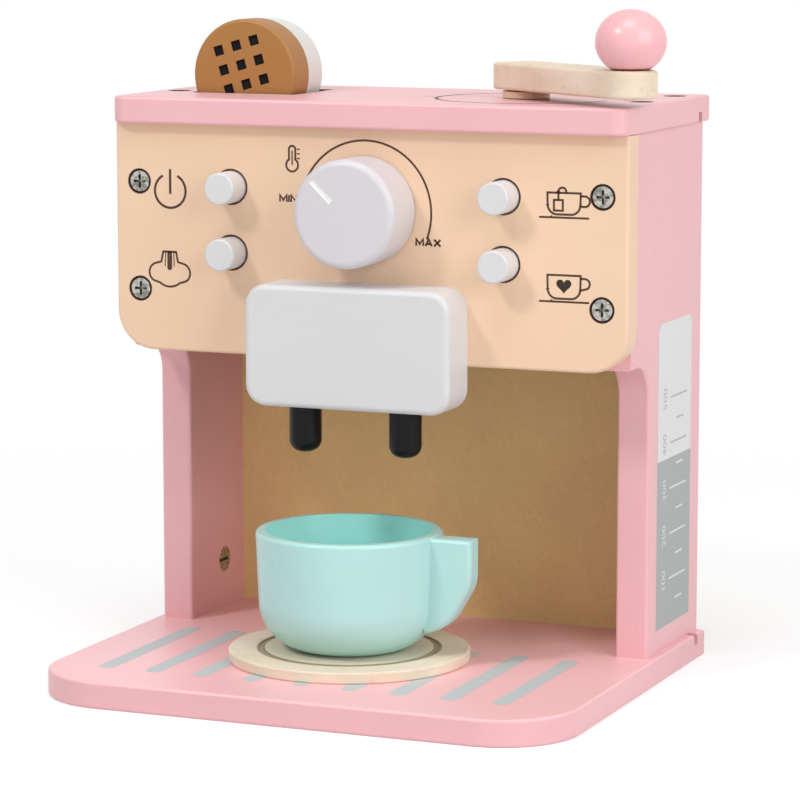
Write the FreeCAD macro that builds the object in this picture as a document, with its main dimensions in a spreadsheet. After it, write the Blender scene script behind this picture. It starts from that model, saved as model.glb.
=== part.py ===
import FreeCAD, Part
import math
import os
import Sketcher

# A child's wooden coffee maker. X runs to the right, Y to the rear and Z up.
# The origin is the middle of the underside of the base plate. Sizes are millimetres.

doc = FreeCAD.newDocument("ToyCoffeeMaker")
sheet = doc.addObject("Spreadsheet::Sheet", "Sizes")

SIZES = {
    # boards
    "board_thk": 10.0,
    "base_depth": 172.0,
    "base_spread": 1.5,
    "base_corner": 30.0,
    "top_width": 205.0,
    "top_overhang": 4.5,
    "top_corner": 6.0,
    "edge_round": 1.2,
    "side_inset": 2.5,
    "side_thk": 12.5,
    "side_height": 196.5,
    "side_cutback": 22.0,
    "side_curve": 13.0,
    "setback_share": 0.465,
    "panel_trim": 0.3,
    "panel_height": 85.8,
    "panel_corner": 15.0,
    "back_thk": 3.8,
    "groove_width": 4.0,
    "groove_depth": 4.0,
    "groove_rear": 8.5,
    "back_slack": 0.3,
    # brew head and nozzles
    "head_width": 81.2,
    "head_depth": 18.7,
    "head_height": 45.2,
    "head_fall": 26.9,
    "head_corner": 8.0,
    "head_edge": 2.2,
    "head_screw_rise": 29.4,
    "head_screw_side": 20.3,
    "nozzle_radius": 6.0,
    "nozzle_length": 17.2,
    "nozzle_tail": 6.0,
    "nozzle_pitch": 40.0,
    "nozzle_round": 4.5,
    "nozzle_setback": 9.3,
    # dial
    "dial_radius": 20.0,
    "dial_depth": 20.5,
    "dial_gap": 0.4,
    "dial_edge": 2.6,
    "dial_fall": 29.8,
    "dial_angle": 136.0,
    "pointer_start": 6.4,
    "pointer_length": 11.2,
    "pointer_width": 2.0,
    "pointer_depth": 0.6,
    "shaft_radius": 4.0,
    "shaft_grip": 12.0,
    "run_clear": 0.1,
    "washer_radius": 8.0,
    "washer_thk": 1.5,
    "washer_gap": 0.3,
    # buttons
    "button_radius": 6.0,
    "button_reach": 11.0,
    "button_clear": 0.3,
    "button_edge": 0.8,
    "button_pitch_wide": 108.6,
    "button_pitch_tall": 24.6,
    "button_fall": 23.0,
    "flange_radius": 8.0,
    "flange_thk": 3.0,
    "flange_gap": 0.3,
    "guide_width": 34.0,
    "guide_depth": 20.0,
    "guide_height": 47.0,
    "guide_bore": 8.5,
    "guide_floor": 4.0,
    "guide_screw_side": 11.3,
    "spring_radius": 5.0,
    "spring_wall": 1.0,
    # fasteners
    "fit_clear": 0.05,
    "screw_radius": 1.9,
    "screw_head": 3.9,
    "screw_head_thk": 2.0,
    "screw_slot": 0.9,
    "screw_cross": 5.1,
    "screw_slot_depth": 1.1,
    "recess_radius": 4.5,
    "panel_recess": 2.2,
    "top_recess": 3.2,
    "screw_bite": 16.0,
    "short_bite": 6.0,
    "head_bite": 12.0,
    "panel_screw_fall": 22.0,
    "panel_screw_pitch": 40.6,
    "panel_screw_inset": 1.4,
    "top_screw_inset": 28.0,
    "top_screw_rear": 15.0,
    "bolt_radius": 3.0,
    "bolt_head": 5.5,
    "bolt_head_thk": 3.5,
    "bolt_recess": 6.0,
    "bolt_recess_depth": 4.5,
    "bolt_over": 4.0,
    "bolt_show": 3.0,
    "bolt_rear": 30.0,
    "nut_radius": 5.0,
    "nut_length": 10.0,
    "nut_slot": 1.4,
    "nut_height": 19.0,
    "dowel_radius": 4.0,
    "dowel_length": 19.0,
    "dowel_sink": 7.0,
    "dowel_inset": 10.0,
    "dowel_rear": 18.0,
    "dowel_slack": 0.5,
    # crank
    "crank_offset": 47.3,
    "crank_rear": 50.0,
    "crank_reach": 66.9,
    "crank_angle": -36.0,
    "arm_halfwidth": 9.5,
    "arm_thk": 10.0,
    "arm_edge": 1.2,
    "arm_flat": 0.5,
    "arm_tail_round": 2.5,
    "boss_radius": 8.8,
    "boss_thk": 2.4,
    "boss_gap": 0.3,
    "neck_height": 0.6,
    "crank_shaft": 3.0,
    "crank_grip": 7.0,
    "crank_washer": 9.0,
    "knob_radius": 12.8,
    "knob_rise": 11.6,
    "knob_height": 21.6,
    "pin_radius": 2.5,
    "pin_length": 19.0,
    "pin_show": 0.6,
    # pod
    "pod_radius": 21.2,
    "pod_rise": 6.9,
    "pod_front_thk": 13.0,
    "pod_rear_thk": 15.0,
    "pod_step": 0.6,
    "pod_edge": 1.4,
    "slot_width": 43.4,
    "slot_depth": 38.0,
    "slot_gap": 2.0,
    "pod_side_gap": 24.3,
    "mark_size": 3.8,
    "mark_pitch": 7.6,
    "mark_depth": 1.0,
    "mark_tilt": 16.0,
    "mark_rise": 4.0,
    "cradle_width": 44.0,
    "cradle_wall": 9.5,
    "cradle_thk": 8.0,
    "cradle_rear_gap": 3.0,
    "cradle_gap": 0.3,
    "cradle_screw": 48.0,
    # cup and saucer
    "saucer_offset": -3.5,
    "saucer_radius": 45.0,
    "saucer_thk": 4.3,
    "saucer_edge": 0.8,
    "saucer_setback": 73.0,
    "ring_radius": 33.0,
    "ring_width": 1.3,
    "ring_depth": 0.4,
    "cup_rim": 34.8,
    "cup_waist": 33.0,
    "cup_height": 44.5,
    "cup_wall": 3.5,
    "cup_floor": 4.0,
    "cup_belly": 18.0,
    "cup_lip": 1.5,
    "bowl_flat": 21.5,
    "bowl_turn": 27.5,
    "bowl_low": 8.0,
    "bowl_high": 16.0,
    "handle_bite": 1.3,
    "handle_reach": 50.0,
    "handle_thk": 9.0,
    "handle_top": 0.5,
    "handle_side": 17.0,
    "handle_low": 8.0,
    "handle_knee": 40.5,
    "handle_knee_low": 10.5,
    "handle_curve": 16.0,
    "handle_edge": 1.6,
}

# Values that follow from others, written as formulas of the sheet.
DERIVED = {
    "top_low": "=board_thk + side_height",
    "top_high": "=top_low + board_thk",
    "rear": "=base_depth / 2",
    "base_width": "=top_width + base_spread",
    "side_span": "=top_width - 2 * side_inset",
    "panel_width": "=top_width - 2 * panel_trim",
    "panel_setback": "=base_depth * setback_share",
    "top_depth": "=base_depth - panel_setback + top_overhang",
    "panel_front": "=panel_setback - base_depth / 2",
    "panel_rear": "=panel_front + board_thk",
    "upper_depth": "=rear - panel_rear",
    "side_depth": "=upper_depth - side_cutback",
    "panel_low": "=top_low - panel_height",
    "side_mid": "=(side_span - side_thk) / 2",
    "side_inner": "=side_span / 2 - side_thk",
    "groove_front": "=rear - groove_rear - groove_width",
    "dial_height": "=top_low - dial_fall",
    "head_low": "=dial_height - head_fall - head_height",
    "button_high": "=top_low - button_fall",
    "button_mid": "=button_high - button_pitch_tall / 2",
    "screw_high": "=top_low - panel_screw_fall",
    "crank_depth": "=rear - crank_rear",
    "boss_low": "=top_high + boss_gap",
    "arm_low": "=boss_low + boss_thk + neck_height",
    "pod_height": "=top_high + pod_rise",
    "cradle_depth": "=slot_depth + 2 * cradle_wall",
    "cradle_mid": "=groove_front - cradle_rear_gap - cradle_depth / 2",
    "slot_front": "=cradle_mid - slot_depth / 2",
    "pod_front": "=slot_front + slot_gap",
    "pod_offset": "=pod_side_gap - side_inner",
    "top_screw_front": "=upper_depth - top_screw_inset",
    "dowel_front": "=side_depth - dowel_inset",
    "saucer_depth": "=saucer_setback - base_depth / 2",
    "cross_over": "=2 * screw_slot_depth",
    "cup_low": "=board_thk + saucer_thk",
    "bolt_depth": "=rear - bolt_rear",
    "half_pitch": "=button_pitch_wide / 2",
    "panel_screw_mid": "=side_mid - panel_screw_inset",
}

for row, (name, value) in enumerate(SIZES.items(), start=1):
    sheet.set("A%d" % row, name)
    sheet.set("B%d" % row, str(value))
    sheet.setAlias("B%d" % row, name)
for row, (name, formula) in enumerate(DERIVED.items(), start=len(SIZES) + 1):
    sheet.set("A%d" % row, name)
    sheet.set("B%d" % row, formula)
    sheet.setAlias("B%d" % row, name)
doc.recompute()


def full(text):
    """Put the sheet's name before each alias in a formula."""
    words = ""
    word = ""
    for letter in text + " ":
        if letter.isalnum() or letter == "_":
            word += letter
        else:
            words += "Sizes." + word if word in SIZES or word in DERIVED else word
            words += letter
            word = ""
    return words.strip()


def bind(thing, prop, formula):
    thing.setExpression(prop, full(formula))


def place(thing, x, y, z, axis=(0, 0, 1), turn=0.0):
    """Turn a piece about an axis and bind its place to the sheet."""
    rotation = FreeCAD.Rotation(FreeCAD.Vector(*axis), turn)
    thing.Placement = FreeCAD.Placement(FreeCAD.Vector(0, 0, 0), rotation)
    bind(thing, "Placement.Base.x", x)
    bind(thing, "Placement.Base.y", y)
    bind(thing, "Placement.Base.z", z)


def new_body(label, x="0", y="0", z="0", axis=(0, 0, 1), turn=0.0):
    body = doc.addObject("PartDesign::Body", label)
    body.Label = label
    place(body, x, y, z, axis, turn)
    return body


def new_sketch(body, name, role, lift="0", turn=None):
    plane = [f for f in body.Origin.OriginFeatures if f.Role == role][0]
    sketch = body.newObject("Sketcher::SketchObject", name)
    sketch.AttachmentSupport = [(plane, "")]
    sketch.MapMode = "FlatFace"
    if turn:
        spin = FreeCAD.Rotation(FreeCAD.Vector(0, 0, 1), sheet.get(turn))
        sketch.AttachmentOffset = FreeCAD.Placement(FreeCAD.Vector(0, 0, 0), spin)
    bind(sketch, "AttachmentOffset.Base.z", lift)
    return sketch


def dimension(sketch, name, formula, *what):
    index = sketch.addConstraint(Sketcher.Constraint(*what))
    sketch.renameConstraint(index, name)
    bind(sketch, "Constraints." + name, formula)


def polygon(sketch, tag, points):
    """Closed outline whose corners are pairs of formulas from the sketch's origin."""
    first = sketch.GeometryCount
    count = len(points)
    turn = 2 * math.pi / count
    ring = [FreeCAD.Vector(math.cos(i * turn), math.sin(i * turn), 0) for i in range(count)]
    for i in range(count):
        sketch.addGeometry(Part.LineSegment(ring[i], ring[(i + 1) % count]), False)
    for i in range(count):
        following = first + (i + 1) % count
        sketch.addConstraint(Sketcher.Constraint("Coincident", first + i, 2, following, 1))
    for i, (across, along) in enumerate(points):
        dimension(sketch, "%s_x%d" % (tag, i), across, "DistanceX", -1, 1, first + i, 1, ring[i].x)
        dimension(sketch, "%s_y%d" % (tag, i), along, "DistanceY", -1, 1, first + i, 1, ring[i].y)


def rectangle(sketch, tag, left, low, wide, tall):
    right = "(%s) + (%s)" % (left, wide)
    high = "(%s) + (%s)" % (low, tall)
    polygon(sketch, tag, [(left, low), (right, low), (right, high), (left, high)])


def circle(sketch, tag, across, along, radius):
    index = sketch.addGeometry(Part.Circle(FreeCAD.Vector(1, 1, 0), FreeCAD.Vector(0, 0, 1), 1), False)
    dimension(sketch, tag + "_x", across, "DistanceX", -1, 1, index, 3, 1.0)
    dimension(sketch, tag + "_y", along, "DistanceY", -1, 1, index, 3, 1.0)
    dimension(sketch, tag + "_r", radius, "Radius", index, 1.0)


def pad(body, name, sketch, length, backwards=False):
    feature = body.newObject("PartDesign::Pad", name)
    feature.Profile = sketch
    bind(feature, "Length", length)
    feature.Reversed = backwards
    doc.recompute()
    return feature


def pocket(body, name, sketch, depth=None, backwards=False):
    """Cut a sketch out of the body, right through where no depth is given."""
    before = body.Shape.Volume
    feature = body.newObject("PartDesign::Pocket", name)
    feature.Profile = sketch
    if depth is None:
        feature.Type = "ThroughAll"
        feature.Midplane = True
    else:
        bind(feature, "Length", depth)
        feature.Reversed = backwards
    doc.recompute()
    if not feature.Shape.Volume < before:
        raise ValueError(body.Label + ": " + name + " cuts nothing")
    return feature


def revolve(body, name, sketch, axis, kind="PartDesign::Revolution"):
    feature = body.newObject(kind, name)
    feature.Profile = sketch
    feature.ReferenceAxis = (sketch, [axis])
    feature.Angle = 360.0
    doc.recompute()
    return feature


def edges(shape, test):
    return ["Edge%d" % (i + 1) for i, edge in enumerate(shape.Edges) if test(edge)]


def fillet(body, name, radius, test):
    """Round the edges of the body's last feature that pass the test."""
    doc.recompute()
    last = body.Tip
    found = edges(last.Shape, test)
    if not found:
        raise ValueError(body.Label + ": " + name + " finds no edge")
    feature = body.newObject("PartDesign::Fillet", name)
    feature.Base = (last, found)
    bind(feature, "Radius", radius)
    doc.recompute()
    return feature


CLOSE = 0.02
PARALLEL = 0.999


def near(value, target):
    return abs(value - target) < CLOSE


def along(edge, letter):
    """True for a straight edge parallel to an axis."""
    if edge.Curve.TypeId != "Part::GeomLine":
        return False
    way = edge.Curve.Direction
    return abs(getattr(way, letter)) > PARALLEL


def ring_at(edge, letter, level, radius):
    """True for a full circle of a radius whose middle is at a level on an axis."""
    if edge.Curve.TypeId != "Part::GeomCircle" or len(edge.Vertexes) > 1:
        return False
    return near(edge.Curve.Radius, radius) and near(getattr(edge.Curve.Center, letter), level)


def flat_at(edge, letter, level):
    """True for an edge that lies wholly at a level on an axis."""
    box = edge.BoundBox
    return near(getattr(box, letter + "Min"), level) and near(getattr(box, letter + "Max"), level)


def size(name):
    return sheet.get(name)


# Base plate: a board with large front corners, a rear groove, bolt holes and dowel holes.
base = new_body("base_plate", "-base_width / 2", "-base_depth / 2")
sketch = new_sketch(base, "base_outline", "XY_Plane")
rectangle(sketch, "board", "0", "0", "base_width", "base_depth")
pad(base, "base_board", sketch, "board_thk")
fillet(base, "base_corners", "base_corner", lambda e: along(e, "z") and near(e.BoundBox.YMin, 0))
fillet(base, "base_edges", "edge_round", lambda e: flat_at(e, "Z", size("board_thk")) or flat_at(e, "Z", 0))
sketch = new_sketch(base, "base_groove", "XY_Plane", "board_thk")
rectangle(sketch, "groove", "-1", "groove_front + base_depth / 2", "base_width + 2", "groove_width")
pocket(base, "base_groove_cut", sketch, "groove_depth")
SIDES = {"left": "-side_mid", "right": "side_mid"}
sketch = new_sketch(base, "base_bolt_holes", "XY_Plane")
for hand, middle in SIDES.items():
    circle(sketch, hand, middle + " + base_width / 2", "bolt_depth + base_depth / 2",
           "bolt_radius + fit_clear")
pocket(base, "base_bolt_cut", sketch)
sketch = new_sketch(base, "base_bolt_recesses", "XY_Plane")
for hand, middle in SIDES.items():
    circle(sketch, hand, middle + " + base_width / 2", "bolt_depth + base_depth / 2", "bolt_recess")
pocket(base, "base_recess_cut", sketch, "bolt_recess_depth", True)
sketch = new_sketch(base, "base_dowel_holes", "XY_Plane", "board_thk")
for hand, middle in SIDES.items():
    for end in ("dowel_front", "dowel_rear"):
        circle(sketch, hand + end, middle + " + base_width / 2", "base_depth - " + end,
               "dowel_radius + fit_clear")
pocket(base, "base_dowel_cut", sketch, "dowel_sink")

# Side panels: full depth behind the control panel, cut back below it with a concave curve.
for hand, start, groove_start, nut_side, pilot in (
    ("left", "-side_span / 2", "side_thk - groove_depth", True, "side_thk / 2 + panel_screw_inset"),
    ("right", "side_inner", "0", False, "side_thk / 2 - panel_screw_inset"),
):
    side = new_body(hand + "_side_panel", start, "panel_rear", "board_thk")
    sketch = new_sketch(side, hand + "_side_outline", "YZ_Plane")
    cutback = "upper_depth - side_depth"
    under = "side_height - panel_height"
    corners = [(cutback, "0"), ("upper_depth", "0"), ("upper_depth", "side_height")]
    corners += [("0", "side_height"), ("0", under), (cutback, under)]
    polygon(sketch, "side", corners)
    pad(side, hand + "_side_board", sketch, "side_thk")
    bend = size("upper_depth") - size("side_depth")
    ledge = size("side_height") - size("panel_height")
    fillet(side, hand + "_side_curve", "side_curve",
           lambda e: along(e, "x") and near(e.BoundBox.YMin, bend) and near(e.BoundBox.ZMin, ledge))
    fillet(side, hand + "_side_edges", "edge_round",
           lambda e: (flat_at(e, "X", 0) or flat_at(e, "X", size("side_thk")))
           and e.BoundBox.YMin < bend + CLOSE and e.BoundBox.ZMax < ledge + CLOSE
           and e.BoundBox.YMax < size("upper_depth") - 1)
    sketch = new_sketch(side, hand + "_side_groove", "XY_Plane")
    rectangle(sketch, "groove", groove_start, "groove_front - panel_rear", "groove_depth", "groove_width")
    pocket(side, hand + "_side_groove_cut", sketch)
    sketch = new_sketch(side, hand + "_nut_hole", "YZ_Plane", "side_thk" if nut_side else "0")
    circle(sketch, "nut", "bolt_depth - panel_rear", "nut_height", "nut_radius + fit_clear")
    pocket(side, hand + "_nut_cut", sketch, "nut_length", not nut_side)
    sketch = new_sketch(side, hand + "_bolt_hole", "XY_Plane")
    circle(sketch, "bolt", "side_thk / 2", "bolt_depth - panel_rear", "bolt_radius + fit_clear")
    pocket(side, hand + "_bolt_cut", sketch, "nut_height + nut_radius + bolt_over", True)
    sketch = new_sketch(side, hand + "_dowel_holes", "XY_Plane")
    for end in ("dowel_front", "dowel_rear"):
        circle(sketch, end, "side_thk / 2", "rear - %s - panel_rear" % end, "dowel_radius + fit_clear")
    pocket(side, hand + "_dowel_cut", sketch, "dowel_length - dowel_sink + dowel_slack", True)
    sketch = new_sketch(side, hand + "_top_pilots", "XY_Plane", "side_height")
    for end in ("top_screw_front", "top_screw_rear"):
        circle(sketch, end, "side_thk / 2", "rear - %s - panel_rear" % end, "screw_radius + fit_clear")
    pocket(side, hand + "_top_pilot_cut", sketch, "screw_bite + dowel_slack")
    sketch = new_sketch(side, hand + "_panel_pilots", "XZ_Plane")
    circle(sketch, "upper", pilot, "screw_high - board_thk", "screw_radius + fit_clear")
    circle(sketch, "lower", pilot, "screw_high - board_thk - panel_screw_pitch", "screw_radius + fit_clear")
    pocket(side, hand + "_panel_pilot_cut", sketch, "screw_bite + dowel_slack")

# Top plate: rounded front corners, rear groove, pod slot, crank hole and screw recesses.
top = new_body("top_plate", "-top_width / 2", "rear - top_depth", "top_low")
sketch = new_sketch(top, "top_outline", "XY_Plane")
rectangle(sketch, "board", "0", "0", "top_width", "top_depth")
pad(top, "top_board", sketch, "board_thk")
fillet(top, "top_corners", "top_corner", lambda e: along(e, "z") and near(e.BoundBox.YMin, 0))
fillet(top, "top_edges", "edge_round", lambda e: flat_at(e, "Z", size("board_thk")) or flat_at(e, "Z", 0))
sketch = new_sketch(top, "top_groove", "XY_Plane")
rectangle(sketch, "groove", "-1", "groove_front - rear + top_depth", "top_width + 2", "groove_width")
pocket(top, "top_groove_cut", sketch, "groove_depth", True)
sketch = new_sketch(top, "pod_slot", "XY_Plane")
rectangle(sketch, "slot", "pod_offset - slot_width / 2 + top_width / 2",
          "slot_front - rear + top_depth", "slot_width", "slot_depth")
pocket(top, "pod_slot_cut", sketch)
sketch = new_sketch(top, "crank_hole", "XY_Plane")
circle(sketch, "crank", "crank_offset + top_width / 2", "crank_depth - rear + top_depth",
       "crank_shaft + run_clear")
pocket(top, "crank_hole_cut", sketch)
HOLE = ("hole", "screw_radius + fit_clear", None)
for stage, radius, depth in (HOLE, ("recess", "recess_radius", "top_recess")):
    sketch = new_sketch(top, "top_screw_" + stage, "XY_Plane", "board_thk")
    for hand, middle in SIDES.items():
        for end in ("top_screw_front", "top_screw_rear"):
            circle(sketch, hand + end, middle + " + top_width / 2", "top_depth - " + end, radius)
    pocket(top, "top_screw_%s_cut" % stage, sketch, depth)
sketch = new_sketch(top, "cradle_pilots", "XY_Plane")
for tag, way in (("front", "-"), ("rear", "+")):
    circle(sketch, tag, "pod_offset + top_width / 2",
           "cradle_mid %s cradle_screw / 2 - rear + top_depth" % way, "screw_radius + fit_clear")
pocket(top, "cradle_pilot_cut", sketch, "short_bite + dowel_slack", True)

# Back panel: a thin board held in the grooves all round.
back = new_body("back_panel", "-side_inner - groove_depth + back_slack", "groove_front",
                "board_thk - groove_depth + back_slack")
sketch = new_sketch(back, "back_outline", "XZ_Plane")
rectangle(sketch, "board", "0", "0", "2 * (side_inner + groove_depth - back_slack)",
          "side_height + 2 * (groove_depth - back_slack)")
pad(back, "back_board", sketch, "back_thk", True)

# Control panel: rounded lower corners, holes for the buttons, dial and screws.
panel = new_body("control_panel", "0", "panel_rear", "panel_low")
sketch = new_sketch(panel, "panel_outline", "XZ_Plane")
rectangle(sketch, "board", "-panel_width / 2", "0", "panel_width", "panel_height")
pad(panel, "panel_board", sketch, "board_thk")
fillet(panel, "panel_corners", "panel_corner", lambda e: along(e, "y") and near(e.BoundBox.ZMin, 0))
fillet(panel, "panel_edges", "edge_round",
       lambda e: flat_at(e, "Y", -size("board_thk")) and e.BoundBox.ZMin < size("panel_height") - 1)
BUTTONS = {
    "power": ("-half_pitch", "button_high"),
    "steam": ("-half_pitch", "button_high - button_pitch_tall"),
    "tea": ("half_pitch", "button_high"),
    "coffee": ("half_pitch", "button_high - button_pitch_tall"),
}
sketch = new_sketch(panel, "button_holes", "XZ_Plane")
for name, (across, up) in BUTTONS.items():
    circle(sketch, name, across, up + " - panel_low", "button_radius + button_clear")
pocket(panel, "button_hole_cut", sketch)
sketch = new_sketch(panel, "dial_hole", "XZ_Plane")
circle(sketch, "dial", "0", "dial_height - panel_low", "shaft_radius + run_clear")
pocket(panel, "dial_hole_cut", sketch)
PANEL_SCREWS = {"left": "-panel_screw_mid", "right": "panel_screw_mid"}
HEAD_SCREWS = {"left": "-head_screw_side", "right": "head_screw_side"}
HEAD_SCREW_UP = "head_low + head_screw_rise"
for stage, radius, depth in (HOLE, ("recess", "recess_radius", "panel_recess")):
    sketch = new_sketch(panel, "panel_screw_" + stage, "XZ_Plane", "board_thk")
    for hand, middle in PANEL_SCREWS.items():
        circle(sketch, hand + "upper", middle, "screw_high - panel_low", radius)
        circle(sketch, hand + "lower", middle, "screw_high - panel_screw_pitch - panel_low", radius)
    pocket(panel, "panel_screw_%s_cut" % stage, sketch, depth)
sketch = new_sketch(panel, "head_screw_holes", "XZ_Plane")
for hand, middle in HEAD_SCREWS.items():
    circle(sketch, hand, middle, HEAD_SCREW_UP + " - panel_low", "screw_radius + fit_clear")
pocket(panel, "head_screw_cut", sketch)
GUIDE_SCREWS = {}
for hand, sign in (("left", "-"), ("right", "")):
    for edge, way in (("inner", "-"), ("outer", "+")):
        GUIDE_SCREWS[hand + edge] = sign + "(half_pitch %s guide_screw_side)" % way
sketch = new_sketch(panel, "guide_pilots", "XZ_Plane")
for name, across in GUIDE_SCREWS.items():
    circle(sketch, name, across, "button_mid - panel_low", "screw_radius + fit_clear")
pocket(panel, "guide_pilot_cut", sketch, "short_bite + dowel_slack", True)

# Brew head: a rounded block on the front of the control panel, with two nozzle sockets.
head = new_body("brew_head", "0", "panel_front", "head_low")
sketch = new_sketch(head, "head_outline", "XZ_Plane")
rectangle(sketch, "block", "-head_width / 2", "0", "head_width", "head_height")
pad(head, "head_block", sketch, "head_depth")
fillet(head, "head_corners", "head_corner", lambda e: along(e, "y"))
fillet(head, "head_edges", "head_edge", lambda e: flat_at(e, "Y", -size("head_depth")))
NOZZLES = {"left": "-nozzle_pitch / 2", "right": "nozzle_pitch / 2"}
sketch = new_sketch(head, "nozzle_sockets", "XY_Plane")
for hand, across in NOZZLES.items():
    circle(sketch, hand, across, "-nozzle_setback", "nozzle_radius + fit_clear")
pocket(head, "nozzle_socket_cut", sketch, "nozzle_tail", True)
sketch = new_sketch(head, "head_pilots", "XZ_Plane")
for hand, across in HEAD_SCREWS.items():
    circle(sketch, hand, across, HEAD_SCREW_UP + " - head_low", "screw_radius + fit_clear")
pocket(head, "head_pilot_cut", sketch, "head_bite + dowel_slack", True)

# Nozzles: black pegs with rounded lower ends.
for hand, across in NOZZLES.items():
    nozzle = new_body(hand + "_nozzle", across, "panel_front - nozzle_setback", "head_low - nozzle_length")
    sketch = new_sketch(nozzle, hand + "_nozzle_profile", "XY_Plane")
    circle(sketch, "peg", "0", "0", "nozzle_radius")
    pad(nozzle, hand + "_nozzle_peg", sketch, "nozzle_length + nozzle_tail")
    fillet(nozzle, hand + "_nozzle_end", "nozzle_round",
           lambda e: ring_at(e, "z", 0, size("nozzle_radius")))

# Dial knob: a turned disc with an engraved pointer, on a shaft through the panel.
dial = new_body("dial_knob", "0", "panel_front - dial_gap", "dial_height", (0, -1, 0), size("dial_angle"))
sketch = new_sketch(dial, "dial_profile", "XY_Plane")
polygon(sketch, "dial", [("0", "-dial_depth"), ("dial_radius", "-dial_depth"), ("dial_radius", "0"),
                         ("shaft_radius + fit_clear", "0"), ("shaft_radius + fit_clear", "-shaft_grip"),
                         ("0", "-shaft_grip")])
revolve(dial, "dial_disc", sketch, "V_Axis")
fillet(dial, "dial_rim", "dial_edge", lambda e: ring_at(e, "y", -size("dial_depth"), size("dial_radius")))
sketch = new_sketch(dial, "pointer", "XZ_Plane", "dial_depth")
rectangle(sketch, "line", "pointer_start", "-pointer_width / 2", "pointer_length", "pointer_width")
pocket(dial, "pointer_cut", sketch, "pointer_depth")

shaft = new_body("dial_shaft", "0", "panel_front - dial_gap - shaft_grip", "dial_height")
sketch = new_sketch(shaft, "shaft_profile", "XY_Plane")
SHAFT_LENGTH = "shaft_grip + dial_gap + board_thk + washer_gap"
polygon(sketch, "shaft", [("0", "0"), ("shaft_radius", "0"), ("shaft_radius", SHAFT_LENGTH),
                          ("screw_radius + fit_clear", SHAFT_LENGTH),
                          ("screw_radius + fit_clear", SHAFT_LENGTH + " - head_bite"),
                          ("0", SHAFT_LENGTH + " - head_bite")])
revolve(shaft, "shaft_turned", sketch, "V_Axis")


def washer(label, radius, x, y, z, role):
    """Flat washer round a screw, its profile in the named plane of its own body."""
    body = new_body(label, x, y, z)
    ring = new_sketch(body, label + "_profile", role)
    polygon(ring, "ring", [("screw_radius + fit_clear", "0"), (radius, "0"), (radius, "washer_thk"),
                           ("screw_radius + fit_clear", "washer_thk")])
    revolve(body, label + "_turned", ring, "V_Axis")


washer("dial_washer", "washer_radius", "0", "panel_rear + washer_gap", "dial_height", "XY_Plane")

# Push buttons: a peg with a flange behind the panel.
PEG_STEP = "board_thk + flange_gap"
PEG_END = "board_thk + flange_gap + flange_thk"
for name, (across, up) in BUTTONS.items():
    button = new_body("button_" + name, across, "panel_front", up)
    sketch = new_sketch(button, name + "_profile", "XY_Plane")
    polygon(sketch, "peg", [("0", "-button_reach"), ("button_radius", "-button_reach"),
                            ("button_radius", PEG_STEP), ("flange_radius", PEG_STEP),
                            ("flange_radius", PEG_END), ("0", PEG_END)])
    revolve(button, name + "_peg", sketch, "V_Axis")
    fillet(button, name + "_rim", "button_edge",
           lambda e: ring_at(e, "y", -size("button_reach"), size("button_radius")))

# Return springs, one behind each flange, as plain sleeves of the spring's size.
for name, (across, up) in BUTTONS.items():
    spring = new_body("spring_" + name, across, "panel_rear + flange_gap + flange_thk", up)
    sketch = new_sketch(spring, name + "_sleeve", "XY_Plane")
    rectangle(sketch, "wall", "spring_radius - spring_wall", "0", "spring_wall",
              "guide_depth - guide_floor - flange_gap - flange_thk")
    revolve(spring, name + "_coil", sketch, "V_Axis")

# Guide blocks: wood behind the control panel with a bore for each flange and spring.
for hand, across in (("left", "-half_pitch"), ("right", "half_pitch")):
    guide = new_body(hand + "_button_guide", across, "panel_rear", "button_mid")
    sketch = new_sketch(guide, hand + "_guide_outline", "XZ_Plane")
    rectangle(sketch, "block", "-guide_width / 2", "-guide_height / 2", "guide_width", "guide_height")
    pad(guide, hand + "_guide_block", sketch, "guide_depth", True)
    sketch = new_sketch(guide, hand + "_guide_bores", "XZ_Plane")
    circle(sketch, "upper", "0", "button_pitch_tall / 2", "guide_bore")
    circle(sketch, "lower", "0", "-button_pitch_tall / 2", "guide_bore")
    pocket(guide, hand + "_guide_bore_cut", sketch, "guide_depth - guide_floor")
    sketch = new_sketch(guide, hand + "_guide_holes", "XZ_Plane")
    circle(sketch, "inner", "-guide_screw_side", "0", "screw_radius + fit_clear")
    circle(sketch, "outer", "guide_screw_side", "0", "screw_radius + fit_clear")
    pocket(guide, hand + "_guide_hole_cut", sketch)

# Pod cradle: a board under the slot with a shallow trough.
cradle = new_body("pod_cradle", "pod_offset", "cradle_mid - cradle_depth / 2", "top_low - cradle_thk")
sketch = new_sketch(cradle, "cradle_outline", "XY_Plane")
rectangle(sketch, "board", "-cradle_width / 2", "0", "cradle_width", "cradle_depth")
pad(cradle, "cradle_board", sketch, "cradle_thk")
sketch = new_sketch(cradle, "cradle_trough", "XZ_Plane")
circle(sketch, "trough", "0", "cradle_thk + board_thk + pod_rise", "pod_radius + cradle_gap")
pocket(cradle, "cradle_trough_cut", sketch)
sketch = new_sketch(cradle, "cradle_holes", "XY_Plane")
for tag, way in (("front", "-"), ("rear", "+")):
    circle(sketch, tag, "0", "cradle_depth / 2 %s cradle_screw / 2" % way, "screw_radius + fit_clear")
pocket(cradle, "cradle_hole_cut", sketch)

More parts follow.
